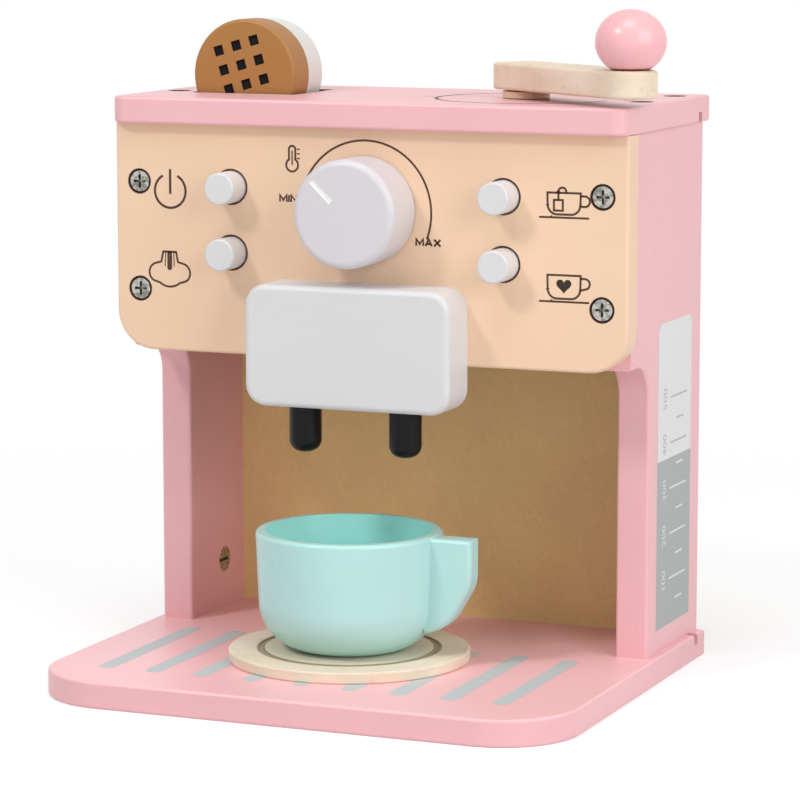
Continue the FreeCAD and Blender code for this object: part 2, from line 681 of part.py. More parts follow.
# Pod: a brown front disc with nine square marks and a white rear disc.
front_disc = new_body("pod_front", "pod_offset", "pod_front", "pod_height")
sketch = new_sketch(front_disc, "pod_front_profile", "XZ_Plane")
circle(sketch, "disc", "0", "0", "pod_radius")
pad(front_disc, "pod_front_disc", sketch, "pod_front_thk", True)
fillet(front_disc, "pod_front_rim", "pod_edge", lambda e: ring_at(e, "y", 0, size("pod_radius")))
sketch = new_sketch(front_disc, "pod_marks", "XZ_Plane", turn="mark_tilt")
for column in (-1, 0, 1):
    for line in (-1, 0, 1):
        left = "%d * mark_pitch - mark_size / 2" % column
        low = "%d * mark_pitch - mark_size / 2 + mark_rise" % line
        rectangle(sketch, "mark%d%d" % (column + 1, line + 1), left, low, "mark_size", "mark_size")
pocket(front_disc, "pod_mark_cut", sketch, "mark_depth")
rear_disc = new_body("pod_rear", "pod_offset", "pod_front + pod_front_thk", "pod_height")
sketch = new_sketch(rear_disc, "pod_rear_profile", "XZ_Plane")
circle(sketch, "disc", "0", "0", "pod_radius - pod_step")
pad(rear_disc, "pod_rear_disc", sketch, "pod_rear_thk", True)
fillet(rear_disc, "pod_rear_rim", "pod_edge",
       lambda e: ring_at(e, "y", size("pod_rear_thk"), size("pod_radius") - size("pod_step")))

# Crank: boss, arm, shaft through the top plate, and the knob on its pin.
REACH_X = "crank_offset + crank_reach * cos(crank_angle)"
REACH_Y = "crank_depth + crank_reach * sin(crank_angle)"
boss = new_body("crank_boss", "crank_offset", "crank_depth", "boss_low")
sketch = new_sketch(boss, "boss_outline", "XY_Plane")
circle(sketch, "outer", "0", "0", "boss_radius")
circle(sketch, "inner", "0", "0", "crank_shaft + fit_clear")
pad(boss, "boss_disc", sketch, "boss_thk")

arm = new_body("crank_arm", "crank_offset", "crank_depth", "arm_low", (0, 0, 1), size("crank_angle"))
sketch = new_sketch(arm, "arm_outline", "XY_Plane")
rectangle(sketch, "bar", "-arm_halfwidth", "-arm_halfwidth", "crank_reach + 2 * arm_halfwidth",
          "2 * arm_halfwidth")
pad(arm, "arm_bar", sketch, "arm_thk")
fillet(arm, "arm_end", "arm_halfwidth - arm_flat", lambda e: along(e, "z") and e.BoundBox.XMin > 0)
fillet(arm, "arm_tail", "arm_tail_round",
       lambda e: along(e, "z") and near(e.BoundBox.XMin, -size("arm_halfwidth")))
fillet(arm, "arm_edges", "arm_edge", lambda e: flat_at(e, "Z", size("arm_thk")) or flat_at(e, "Z", 0))
sketch = new_sketch(arm, "arm_shaft_hole", "XY_Plane")
circle(sketch, "shaft", "0", "0", "crank_shaft + fit_clear")
pocket(arm, "arm_shaft_cut", sketch, "crank_grip", True)
sketch = new_sketch(arm, "arm_pin_hole", "XY_Plane")
circle(sketch, "pin", "crank_reach", "0", "pin_radius + fit_clear")
pocket(arm, "arm_pin_cut", sketch)

CRANK_BELOW = "board_thk + boss_gap + boss_thk + neck_height + washer_gap"
spindle = new_body("crank_shaft_dowel", "crank_offset", "crank_depth", "top_low - washer_gap")
sketch = new_sketch(spindle, "spindle_profile", "XZ_Plane")
polygon(sketch, "spindle", [("screw_radius + fit_clear", "0"), ("crank_shaft", "0"),
                            ("crank_shaft", CRANK_BELOW + " + crank_grip"),
                            ("0", CRANK_BELOW + " + crank_grip"),
                            ("0", "head_bite"), ("screw_radius + fit_clear", "head_bite")])
revolve(spindle, "spindle_turned", sketch, "V_Axis")
washer("crank_washer_disc", "crank_washer", "crank_offset", "crank_depth",
       "top_low - washer_gap - washer_thk", "XZ_Plane")

ball = doc.addObject("Part::Ellipsoid", "knob_ball")
bind(ball, "Radius1", "knob_rise")
bind(ball, "Radius2", "knob_radius")
bind(ball, "Radius3", "knob_radius")
ball.Angle1 = -90
ball.Angle2 = 90
ball.Angle3 = 360
place(ball, REACH_X, REACH_Y, "arm_low + arm_thk + knob_height - knob_rise")
waste = doc.addObject("Part::Box", "knob_waste")
bind(waste, "Length", "4 * knob_radius")
bind(waste, "Width", "4 * knob_radius")
bind(waste, "Height", "2 * knob_radius")
place(waste, REACH_X + " - 2 * knob_radius", REACH_Y + " - 2 * knob_radius",
      "arm_low + arm_thk - 2 * knob_radius")
socket = doc.addObject("Part::Cylinder", "knob_socket")
bind(socket, "Radius", "pin_radius + fit_clear")
bind(socket, "Height", "pin_length - arm_thk - pin_show")
place(socket, REACH_X, REACH_Y, "arm_low + arm_thk")
flat = doc.addObject("Part::Cut", "knob_flat")
flat.Base = ball
flat.Tool = waste
knob = doc.addObject("Part::Cut", "crank_knob")
knob.Base = flat
knob.Tool = socket
pin = doc.addObject("Part::Cylinder", "knob_pin")
bind(pin, "Radius", "pin_radius")
bind(pin, "Height", "pin_length")
place(pin, REACH_X, REACH_Y, "arm_low - pin_show")

# Saucer: a turned disc with a shallow ring line.
saucer = new_body("saucer", "saucer_offset", "saucer_depth", "board_thk")
sketch = new_sketch(saucer, "saucer_profile", "XY_Plane")
circle(sketch, "disc", "0", "0", "saucer_radius")
pad(saucer, "saucer_disc", sketch, "saucer_thk")
fillet(saucer, "saucer_edges", "saucer_edge",
       lambda e: flat_at(e, "Z", size("saucer_thk")) or flat_at(e, "Z", 0))
sketch = new_sketch(saucer, "saucer_ring", "XY_Plane", "saucer_thk")
circle(sketch, "outer", "0", "0", "ring_radius + ring_width / 2")
circle(sketch, "inner", "0", "0", "ring_radius - ring_width / 2")
pocket(saucer, "saucer_ring_cut", sketch, "ring_depth")

# Cup: a turned bowl with a rounded foot and a solid handle on the right.
cup = new_body("cup", "saucer_offset", "saucer_depth", "cup_low")
sketch = new_sketch(cup, "cup_outside", "XZ_Plane")
polygon(sketch, "outside", [("0", "0"), ("cup_waist", "0"), ("cup_rim", "cup_height"), ("0", "cup_height")])
revolve(cup, "cup_blank", sketch, "V_Axis")
fillet(cup, "cup_foot", "cup_belly", lambda e: ring_at(e, "z", 0, size("cup_waist")))
sketch = new_sketch(cup, "handle_outline", "XZ_Plane")
grip = "cup_waist - handle_bite"
polygon(sketch, "handle", [(grip, "handle_low"), ("handle_knee", "handle_knee_low"),
                           ("handle_reach", "cup_height - handle_top - handle_side"),
                           ("handle_reach", "cup_height - handle_top"), (grip, "cup_height - handle_top")])
plate = cup.newObject("PartDesign::Pad", "handle_plate")
plate.Profile = sketch
bind(plate, "Length", "handle_thk")
plate.Midplane = True
doc.recompute()
fillet(cup, "handle_bends", "handle_curve",
       lambda e: along(e, "y") and e.BoundBox.XMin > size("handle_knee") - 1
       and e.BoundBox.ZMin < size("cup_height") - size("handle_top") - 1)
fillet(cup, "handle_edges", "handle_edge",
       lambda e: (flat_at(e, "Y", size("handle_thk") / 2) or flat_at(e, "Y", -size("handle_thk") / 2))
       and e.BoundBox.XMax > size("handle_knee") - 3)
sketch = new_sketch(cup, "cup_inside", "XZ_Plane")
polygon(sketch, "inside", [("0", "cup_floor"), ("bowl_flat", "cup_floor"), ("bowl_turn", "bowl_low"),
                           ("cup_waist - cup_wall", "bowl_high"),
                           ("cup_rim - cup_wall", "cup_height"), ("0", "cup_height")])
revolve(cup, "cup_hollow", sketch, "V_Axis", "PartDesign::Groove")
fillet(cup, "cup_lip_round", "cup_lip", lambda e: ring_at(e, "z", size("cup_height"), size("cup_rim")))


# Fasteners.
def cylinder(name, radius, length, x, y, z, axis=(0, 0, 1), turn=0.0):
    piece = doc.addObject("Part::Cylinder", name)
    bind(piece, "Radius", radius)
    bind(piece, "Height", length)
    place(piece, x, y, z, axis, turn)
    return piece


def screw(name, length, x, y, z, axis=(0, 0, 1), turn=0.0):
    """Cross-head screw whose shank starts at its own origin and runs up its own axis."""
    shank = cylinder(name + "_shank", "screw_radius", length, "0", "0", "0")
    cap = cylinder(name + "_cap", "screw_head", "screw_head_thk", "0", "0", "-screw_head_thk")
    whole = doc.addObject("Part::Fuse", name + "_blank")
    whole.Base = shank
    whole.Tool = cap
    arms = []
    for tag, wide, deep in (("across", "screw_cross", "screw_slot"), ("along", "screw_slot", "screw_cross")):
        arm_box = doc.addObject("Part::Box", name + "_" + tag)
        bind(arm_box, "Length", wide)
        bind(arm_box, "Width", deep)
        bind(arm_box, "Height", "cross_over")
        place(arm_box, "-(%s) / 2" % wide, "-(%s) / 2" % deep,
              "-screw_head_thk - screw_slot_depth")
        arms.append(arm_box)
    cross = doc.addObject("Part::Fuse", name + "_cross")
    cross.Base = arms[0]
    cross.Tool = arms[1]
    made = doc.addObject("Part::Cut", name)
    made.Base = whole
    made.Tool = cross
    place(made, x, y, z, axis, turn)
    return made


def group(label, pieces):
    node = doc.addObject("Part::Compound", label)
    node.Label = label
    node.Links = pieces
    return node


BACK = ((1, 0, 0), -90.0)
FRONT = ((1, 0, 0), 90.0)
DOWN = ((1, 0, 0), 180.0)
pieces = []
for hand, middle in PANEL_SCREWS.items():
    for tag, drop in (("upper", "0"), ("lower", "panel_screw_pitch")):
        pieces.append(screw("panel_screw_%s_%s" % (hand, tag), "board_thk - panel_recess + screw_bite",
                            middle, "panel_front + panel_recess", "screw_high - " + drop, *BACK))
panel_screws = group("panel_screws", pieces)
pieces = []
for hand, middle in SIDES.items():
    for end in ("top_screw_front", "top_screw_rear"):
        pieces.append(screw("%s_%s" % (end, hand), "board_thk - top_recess + screw_bite",
                            middle, "rear - " + end, "top_high - top_recess", *DOWN))
top_screws = group("top_screws", pieces)
pieces = []
for hand, across in HEAD_SCREWS.items():
    pieces.append(screw("head_screw_" + hand, "board_thk + head_bite", across, "panel_rear",
                        HEAD_SCREW_UP, *FRONT))
head_screws = group("head_screws", pieces)
pieces = []
for name, across in GUIDE_SCREWS.items():
    pieces.append(screw("guide_screw_" + name, "guide_depth + short_bite", across,
                        "panel_rear + guide_depth", "button_mid", *FRONT))
guide_screws = group("guide_screws", pieces)
pieces = []
for tag, way in (("front", "-"), ("rear", "+")):
    pieces.append(screw("cradle_screw_" + tag, "cradle_thk + short_bite", "pod_offset",
                        "cradle_mid %s cradle_screw / 2" % way, "top_low - cradle_thk"))
cradle_screws = group("cradle_screws", pieces)
dial_screw = screw("dial_screw", "washer_thk + head_bite - dowel_slack", "0",
                   "panel_rear + washer_gap + washer_thk", "dial_height", *FRONT)
crank_screw = screw("crank_screw", "washer_thk + head_bite - dowel_slack", "crank_offset", "crank_depth",
                    "top_low - washer_gap - washer_thk")

# Base bolts run up into slotted barrel nuts in the side panels.
bolts = []
nuts = []
dowels = []
STEM = "board_thk - bolt_recess_depth + nut_height + nut_radius + bolt_show"
NUT_STARTS = {"left": "-side_inner - nut_length", "right": "side_inner"}
for hand, middle in SIDES.items():
    stem = cylinder(hand + "_bolt_stem", "bolt_radius", STEM, middle, "bolt_depth", "bolt_recess_depth")
    cap = cylinder(hand + "_bolt_cap", "bolt_head", "bolt_head_thk", middle, "bolt_depth",
                   "bolt_recess_depth - bolt_head_thk")
    bolt = doc.addObject("Part::Fuse", hand + "_bolt_blank")
    bolt.Base = stem
    bolt.Tool = cap
    bolts.append(bolt)
    barrel = cylinder(hand + "_barrel", "nut_radius", "nut_length", NUT_STARTS[hand], "bolt_depth",
                      "board_thk + nut_height", (0, 1, 0), 90.0)
    thread = cylinder(hand + "_thread", "bolt_radius + fit_clear", "4 * nut_radius", middle, "bolt_depth",
                      "board_thk + nut_height - 2 * nut_radius")
    bored = doc.addObject("Part::Cut", hand + "_barrel_bored")
    bored.Base = barrel
    bored.Tool = thread
    slit = doc.addObject("Part::Box", hand + "_slit")
    bind(slit, "Length", "screw_slot_depth")
    bind(slit, "Width", "4 * nut_radius")
    bind(slit, "Height", "nut_slot")
    face = "side_inner" if hand == "right" else "-side_inner - screw_slot_depth"
    place(slit, face, "bolt_depth - 2 * nut_radius", "board_thk + nut_height - nut_slot / 2")
    nut = doc.addObject("Part::Cut", hand + "_nut")
    nut.Base = bored
    nut.Tool = slit
    nuts.append(nut)
    for end in ("dowel_front", "dowel_rear"):
        dowels.append(cylinder(hand + "_" + end, "dowel_radius", "dowel_length - dowel_slack", middle,
                               "rear - " + end, "board_thk - dowel_sink"))
base_bolts = group("base_bolts", bolts)
barrel_nuts = group("barrel_nuts", nuts)
base_dowels = group("base_dowels", dowels)

doc.recompute()

NODES = [
    "base_plate", "left_side_panel", "right_side_panel", "top_plate", "back_panel", "control_panel",
    "brew_head", "left_nozzle", "right_nozzle", "dial_knob", "dial_shaft", "dial_washer", "dial_screw",
    "button_power", "button_steam", "button_tea", "button_coffee",
    "spring_power", "spring_steam", "spring_tea", "spring_coffee",
    "left_button_guide", "right_button_guide", "pod_cradle", "pod_front", "pod_rear",
    "crank_boss", "crank_arm", "crank_shaft_dowel", "crank_washer_disc", "crank_screw", "crank_knob",
    "knob_pin", "saucer", "cup", "panel_screws", "top_screws", "head_screws", "guide_screws", "cradle_screws",
    "base_bolts", "barrel_nuts", "base_dowels",
]
for thing in doc.Objects:
    if "Invalid" in thing.State or "Error" in thing.State:
        raise ValueError(thing.Label + " failed: " + str(thing.State))
shapes = {}
for name in NODES:
    shape = doc.getObjectsByLabel(name)[0].Shape
    if shape.isNull() or not shape.isValid():
        raise ValueError(name + " has no valid shape")
    shapes[name] = shape
os.makedirs("parts", exist_ok=True)
for name, shape in shapes.items():
    shape.exportStep("parts/" + name + ".step")
    box = shape.BoundBox
    print("%-20s %2d solids  x %.1f..%.1f  y %.1f..%.1f  z %.1f..%.1f" % (
        name, len(shape.Solids), box.XMin, box.XMax, box.YMin, box.YMax, box.ZMin, box.ZMax))
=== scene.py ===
from math import atan2, cos, pi, radians, sin

import bpy
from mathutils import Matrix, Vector


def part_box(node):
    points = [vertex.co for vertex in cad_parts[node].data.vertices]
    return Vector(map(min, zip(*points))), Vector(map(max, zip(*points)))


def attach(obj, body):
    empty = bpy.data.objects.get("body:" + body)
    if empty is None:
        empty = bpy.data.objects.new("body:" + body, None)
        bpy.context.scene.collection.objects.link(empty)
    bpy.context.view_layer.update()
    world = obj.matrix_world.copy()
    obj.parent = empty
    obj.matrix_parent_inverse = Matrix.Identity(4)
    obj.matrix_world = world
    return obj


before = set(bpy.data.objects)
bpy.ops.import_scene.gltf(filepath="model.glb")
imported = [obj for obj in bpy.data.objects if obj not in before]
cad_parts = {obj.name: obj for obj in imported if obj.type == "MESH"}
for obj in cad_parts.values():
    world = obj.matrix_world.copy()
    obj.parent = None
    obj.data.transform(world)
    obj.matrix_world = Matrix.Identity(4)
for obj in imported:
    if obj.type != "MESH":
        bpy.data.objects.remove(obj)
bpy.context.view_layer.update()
MM = 0.001
STEPS_PER_MM = 20


def rounded(metres):
    """A length in millimetres, to 0.05, because a mesh's box misses a round form by a little."""
    return round(metres / MM * STEPS_PER_MM) / STEPS_PER_MM


def low_end(node, axis):
    return rounded(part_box(node)[0][axis])


def high_end(node, axis):
    return rounded(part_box(node)[1][axis])


def middle_of(node, axis):
    lowest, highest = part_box(node)
    return rounded((lowest[axis] + highest[axis]) / 2)


# Sizes that the frame's boxes don't show, in millimetres
SCREW_HEAD = 3.9
SCREW_HOLE = 4.5
BUTTON_HOLE = 6.3
MARK_RISE = 4.0
CUP_WAIST = 33.0
CUP_BELLY = 18.0
BELLY_SKIN = 1.6
ARC_FALL = 0.5
PRINT_LIFT = 0.04
THIN = 0.8

# Places on the object, in millimetres; axes 0, 1 and 2 are X, Y and Z
PANEL_FACE = low_end("control_panel", 1)
PANEL_LOW = low_end("control_panel", 2)
TOP_LOW = low_end("top_plate", 2)
TOP_FACE = high_end("top_plate", 2)
BASE_FACE = high_end("base_plate", 2)
SIDE_FACE = high_end("right_side_panel", 0)
DIAL_Z = middle_of("dial_knob", 2)
DIAL_FACE = low_end("dial_knob", 1)
ARC_Z = DIAL_Z - ARC_FALL
BUTTON_X = middle_of("button_tea", 0)
BUTTON_Z = (middle_of("button_tea", 2), middle_of("button_coffee", 2))
SCREW_X = high_end("panel_screws", 0) - SCREW_HEAD
SCREW_Z = (high_end("panel_screws", 2) - SCREW_HEAD, low_end("panel_screws", 2) + SCREW_HEAD)
PIVOT = (middle_of("crank_boss", 0), middle_of("crank_boss", 1))
POD = (middle_of("pod_front", 0), middle_of("pod_front", 2) + MARK_RISE)
POD_FACE = low_end("pod_front", 1)
SAUCER = (middle_of("saucer", 0), middle_of("saucer", 1))
BELLY_MIDDLE = CUP_WAIST - CUP_BELLY
BELLY_HEIGHT = low_end("cup", 2) + CUP_BELLY
BOWL_REACH = CUP_BELLY - BELLY_SKIN
ARM_TOP = high_end("crank_arm", 2)

# Bounds of painted and bare places, in millimetres
PANEL_CORE = (0.07, 9.97)
PANEL_CORNER_RISE = 16.0
PANEL_TOP_GAP = 1.5
TOP_CORE = (-4.0, 82.0)
TOP_SKIN = (0.05, 0.08)
RING_BAND = (31.9, 34.1)
RING_INNER = (31.5, 32.1)
RING_OUTER = (33.9, 34.5)
MARKS_REACH = 14.5
MARKS_DEPTH = (0.12, 1.4)
POINTER_REACH = 17.75
POINTER_DEPTH = (0.04, 0.8)
FOOT_SHADOW_BAND = (-1.0, 0.7)
BASE_SKIN = (-0.4, 0.5)


def srgb(r, g, b):
    """A colour as it looks on a screen, 0 to 255, as the linear colour that the shader takes."""
    out = []
    for value in (r, g, b):
        value /= 255
        out.append(value / 12.92 if value <= 0.04045 else ((value + 0.055) / 1.055) ** 2.4)
    return tuple(out)


def scaled(rgb, factor):
    return tuple(min(1.0, c * factor) for c in rgb)


class Shader:
    """A material's node tree with short calls for the nodes used here."""

    def __init__(self, name):
        self.material = bpy.data.materials.new(name)
        self.material.use_nodes = True
        self.tree = self.material.node_tree
        self.bsdf = self.tree.nodes["Principled BSDF"]
        self.coordinate = self.node("ShaderNodeTexCoord").outputs["Object"]

    def node(self, kind, **settings):
        made = self.tree.nodes.new(kind)
        for key, value in settings.items():
            setattr(made, key, value)
        return made

    def put(self, socket, value):
        if isinstance(value, bpy.types.NodeSocket):
            self.tree.links.new(value, socket)
        elif isinstance(value, tuple) and len(value) == 3 and socket.type == "RGBA":
            socket.default_value = value + (1.0,)
        else:
            socket.default_value = value

    def stretch(self, x, y, z):
        made = self.node("ShaderNodeMapping")
        self.put(made.inputs["Vector"], self.coordinate)
        made.inputs["Scale"].default_value = (x, y, z)
        return made.outputs["Vector"]

    def noise(self, scale, detail=3.0, rough=0.55, vector=None, distort=0.0):
        made = self.node("ShaderNodeTexNoise")
        self.put(made.inputs["Vector"], vector or self.coordinate)
        made.inputs["Scale"].default_value = scale
        made.inputs["Detail"].default_value = detail
        made.inputs["Roughness"].default_value = rough
        made.inputs["Distortion"].default_value = distort
        return made.outputs["Fac"]

    def math(self, operation, a, b=0.0, c=0.0):
        made = self.node("ShaderNodeMath", operation=operation)
        for socket, value in zip(made.inputs, (a, b, c)):
            self.put(socket, value)
        return made.outputs[0]

    def ramp(self, factor, low, high, start=0.0, end=1.0):
        made = self.node("ShaderNodeMapRange")
        self.put(made.inputs["Value"], factor)
        for name, value in (("From Min", low), ("From Max", high), ("To Min", start), ("To Max", end)):
            made.inputs[name].default_value = value
        return made.outputs["Result"]

    def mix(self, factor, a, b):
        made = self.node("ShaderNodeMix", data_type="RGBA")
        self.put(made.inputs["Factor"], factor)
        self.put(made.inputs["A"], a)
        self.put(made.inputs["B"], b)
        return made.outputs["Result"]

    def axes(self):
        made = self.node("ShaderNodeSeparateXYZ")
        self.put(made.inputs[0], self.coordinate)
        return made.outputs

    def between(self, value, low, high):
        above = self.math("GREATER_THAN", value, low * MM)
        return self.math("MULTIPLY", above, self.math("LESS_THAN", value, high * MM))

    def within(self, x=None, y=None, z=None):
        """1 inside a box given in millimetres, 0 outside."""
        mask = None
        for value, limits in zip(self.axes(), (x, y, z)):
            if limits:
                part = self.between(value, *limits)
                mask = part if mask is None else self.math("MULTIPLY", mask, part)
        return mask

    def distance(self, centre, first=0, second=1):
        """The distance, in metres, from an axis through a point given in millimetres."""
        axes = self.axes()
        a = self.math("SUBTRACT", axes[first], centre[0] * MM)
        b = self.math("SUBTRACT", axes[second], centre[1] * MM)
        return self.math("SQRT", self.math("MULTIPLY_ADD", a, a, self.math("MULTIPLY", b, b)))

    def edge(self, radius=0.5):
        """1 on edges that hands rub, 0 on flat surfaces."""
        bevel = self.node("ShaderNodeBevel", samples=4)
        bevel.inputs["Radius"].default_value = radius * MM
        flat = self.node("ShaderNodeNewGeometry").outputs["Normal"]
        dot = self.node("ShaderNodeVectorMath", operation="DOT_PRODUCT")
        self.put(dot.inputs[0], bevel.outputs["Normal"])
        self.put(dot.inputs[1], flat)
        return self.ramp(dot.outputs["Value"], 0.995, 0.90)

    def bump(self, height, depth, strength=1.0, below=None):
        made = self.node("ShaderNodeBump")
        made.inputs["Distance"].default_value = depth * MM
        made.inputs["Strength"].default_value = strength
        self.put(made.inputs["Height"], height)
        if below:
            self.put(made.inputs["Normal"], below)
        return made.outputs["Normal"]

    def finish(self, colour, rough, normal=None, **constants):
        self.put(self.bsdf.inputs["Base Color"], colour)
        self.put(self.bsdf.inputs["Roughness"], rough)
        if normal:
            self.put(self.bsdf.inputs["Normal"], normal)
        for name, value in constants.items():
            self.bsdf.inputs[name.replace("_", " ")].default_value = value
        return self.material


GRAIN = {"X": (0.05, 1.0, 1.0), "Y": (1.0, 0.05, 1.0), "Z": (1.0, 1.0, 0.05)}


def paint(name, rgb, grain="X", gloss=0.36, depth=0.05, worn=0.35, burnt=None, extra=None, dull=None,
          shine=0.5):
    """Sprayed paint on board: cloudy colour, faint grain, fine spray texture and rubbed edges."""
    s = Shader(name)
    clouds = s.noise(16.0, 4.0)
    fibres = s.noise(420.0, 4.0, 0.6, s.stretch(*GRAIN[grain]))
    spray = s.noise(1300.0, 2.0)
    colour = s.mix(s.ramp(clouds, 0.3, 0.7), scaled(rgb, 0.965), scaled(rgb, 1.025))
    colour = s.mix(s.ramp(fibres, 0.56, 0.78, 0.0, 0.10), colour, scaled(rgb, 0.80))
    rubbed = s.math("MULTIPLY", s.edge(), s.ramp(s.noise(95.0, 5.0, 0.7), 0.42, 0.66, 0.0, worn))
    colour = s.mix(rubbed, colour, scaled(rgb, 1.18))
    if burnt:
        colour = s.mix(burnt(s), colour, srgb(70, 42, 27))
    if extra:
        colour = extra(s, colour)
    normal = s.bump(fibres, depth * 0.5)
    normal = s.bump(spray, depth * 0.35, 0.6, normal)
    rough = s.math("ADD", s.ramp(clouds, 0.3, 0.7, gloss - 0.05, gloss + 0.05),
                   s.ramp(fibres, 0.4, 0.8, 0.0, 0.06))
    if dull:
        rough = s.math("MAXIMUM", rough, dull(s))
    return s.finish(colour, rough, normal, Specular_IOR_Level=shine)


def bare_wood(name, rgb, dark, gloss=0.55, extra=None):
    """Sanded pale wood: soft growth bands, fine pores and short darker flecks along the grain."""
    s = Shader(name)
    along = s.stretch(*GRAIN["X"])
    bands = s.noise(70.0, 3.0, 0.5, along, 0.6)
    pores = s.noise(900.0, 3.0, 0.7, along)
    flecks = s.noise(330.0, 2.0, 0.5, s.stretch(0.16, 1.0, 1.0))
    colour = s.mix(s.ramp(bands, 0.35, 0.68), rgb, dark)
    colour = s.mix(s.ramp(flecks, 0.60, 0.72, 0.0, 0.42), colour, scaled(dark, 0.80))
    colour = s.mix(s.ramp(pores, 0.58, 0.75, 0.0, 0.25), colour, scaled(dark, 0.72))
    colour = s.mix(s.math("MULTIPLY", s.edge(0.4), 0.3), colour, scaled(dark, 0.88))
    if extra:
        colour = extra(s, colour)
    normal = s.bump(pores, 0.05)
    normal = s.bump(bands, 0.04, 0.5, normal)
    return s.finish(colour, s.ramp(pores, 0.3, 0.8, gloss - 0.06, gloss + 0.08), normal)


def fibre_board(name, rgb):
    """Bare hardboard: short matted fibres in every direction over faint clouds."""
    s = Shader(name)
    matted = s.noise(520.0, 6.0, 0.75, None, 1.5)
    strands = s.noise(260.0, 5.0, 0.7, s.stretch(1.0, 1.0, 0.4), 2.0)
    clouds = s.noise(22.0, 4.0)
    colour = s.mix(s.ramp(clouds, 0.3, 0.7), scaled(rgb, 0.93), scaled(rgb, 1.06))
    colour = s.mix(s.ramp(matted, 0.50, 0.72, 0.0, 0.45), colour, scaled(rgb, 0.72))
    colour = s.mix(s.ramp(strands, 0.55, 0.72, 0.0, 0.35), colour, scaled(rgb, 1.22))
    return s.finish(colour, s.ramp(matted, 0.3, 0.7, 0.68, 0.82), s.bump(matted, 0.10))


def steel(name, rgb=(0.58, 0.55, 0.51), rough=0.28):
    """Plated steel: fine turning marks, cloudy sheen and painted shade, dark brown, in the recesses."""
    s = Shader(name)
    marks = s.noise(2600.0, 2.0)
    clouds = s.noise(620.0, 3.0)
    # Painted shade: where ambient occlusion finds a recess, the colour is darkened towards dark brown.
    corners = s.node("ShaderNodeAmbientOcclusion", samples=8)
    corners.inputs["Distance"].default_value = 1.6 * MM
    recess_shade = s.ramp(corners.outputs["AO"], 0.45, 0.85, 0.9, 0.0)
    colour = s.mix(s.ramp(clouds, 0.42, 0.62), rgb, scaled(rgb, 0.42))
    colour = s.mix(recess_shade, colour, srgb(38, 30, 26))
    rubbed = s.ramp(marks, 0.3, 0.7, rough - 0.07, rough + 0.12)
    return s.finish(colour, rubbed, s.bump(marks, 0.012), Metallic=1.0)


def ink(name, rgb, pale, rough=0.6):
    """A print or burnt line: uneven strength, slightly broken where the wood's pores lie."""
    s = Shader(name)
    uneven = s.noise(750.0, 4.0, 0.7)
    colour = s.mix(s.ramp(uneven, 0.45, 0.80), rgb, pale)
    return s.finish(colour, s.ramp(uneven, 0.3, 0.7, rough, rough + 0.15), s.bump(uneven, 0.02))


PINK = srgb(237, 182, 187)
CREAM = srgb(238, 204, 174)
WHITE = srgb(214, 214, 216)
MINT = srgb(180, 225, 221)
# Painted bounce light: the more saturated mint inside the cup
MINT_BOUNCE_LIT = srgb(174, 237, 231)
BURNT = srgb(66, 38, 22)
BURNT_PALE = srgb(104, 72, 50)
BOARD_BROWN = srgb(236, 207, 145)
DIAL_WHITE = srgb(213, 209, 213)
BUTTON_WHITE = srgb(215, 215, 217)
POINTER_WHITE = srgb(246, 246, 246)
POD_BROWN = srgb(168, 117, 59)
POD_WHITE = srgb(224, 223, 218)
PIT_BLACK = (0.004, 0.003, 0.003)
SAUCER_WOOD = (srgb(242, 231, 213), srgb(230, 214, 190))
ARM_WOOD = (srgb(238, 222, 201), srgb(226, 205, 180))
HIDDEN_WOOD = (srgb(232, 212, 182), srgb(212, 186, 152))
RING_TINT = srgb(150, 138, 104)
RING_LINE = srgb(112, 98, 70)
BALL_PINK = srgb(243, 180, 184)
# Painted shadow: the dark brown band round the ball's foot
BALL_FOOT_SHADOW = srgb(112, 62, 50)
# Painted light: the lighter pink of the base's upper face
BASE_TOP_LIT_PINK = srgb(250, 195, 199)
NOZZLE_BLACK = srgb(9, 8, 8)


def panel_burn(s):
    return s.within(x=(-SIDE_FACE, SIDE_FACE), y=[PANEL_FACE + d for d in PANEL_CORE],
                    z=(PANEL_LOW + PANEL_CORNER_RISE, TOP_LOW - PANEL_TOP_GAP))


def top_burn(s):
    return s.within(x=(-SIDE_FACE, SIDE_FACE), y=TOP_CORE,
                    z=(TOP_LOW + TOP_SKIN[0], TOP_FACE - TOP_SKIN[1]))


def saucer_ring(s, colour):
    ring = s.distance(SAUCER)
    band = s.between(ring, *RING_BAND)
    colour = s.mix(s.math("MULTIPLY", band, 0.75), colour, RING_TINT)
    fine = s.math("ADD", s.between(ring, *RING_INNER), s.between(ring, *RING_OUTER))
    return s.mix(s.math("MULTIPLY", fine, 0.7), colour, RING_LINE)


def pod_marks(s):
    near_middle = s.math("LESS_THAN", s.distance(POD, 0, 2), MARKS_REACH * MM)
    return s.math("MULTIPLY", near_middle, s.within(y=[POD_FACE + d for d in MARKS_DEPTH]))


def pod_holes(s, colour):
    return s.mix(pod_marks(s), colour, PIT_BLACK)


def pointer(s, colour):
    near_middle = s.math("LESS_THAN", s.distance((0, DIAL_Z), 0, 2), POINTER_REACH * MM)
    groove = s.math("MULTIPLY", near_middle, s.within(y=[DIAL_FACE + d for d in POINTER_DEPTH]))
    return s.mix(groove, colour, POINTER_WHITE)


# Painted shadow: a dark brown band round the ball's foot, where it meets the arm.
def knob_foot_painted_shadow(s, colour):
    return s.mix(s.within(z=[ARM_TOP + d for d in FOOT_SHADOW_BAND]), colour, BALL_FOOT_SHADOW)


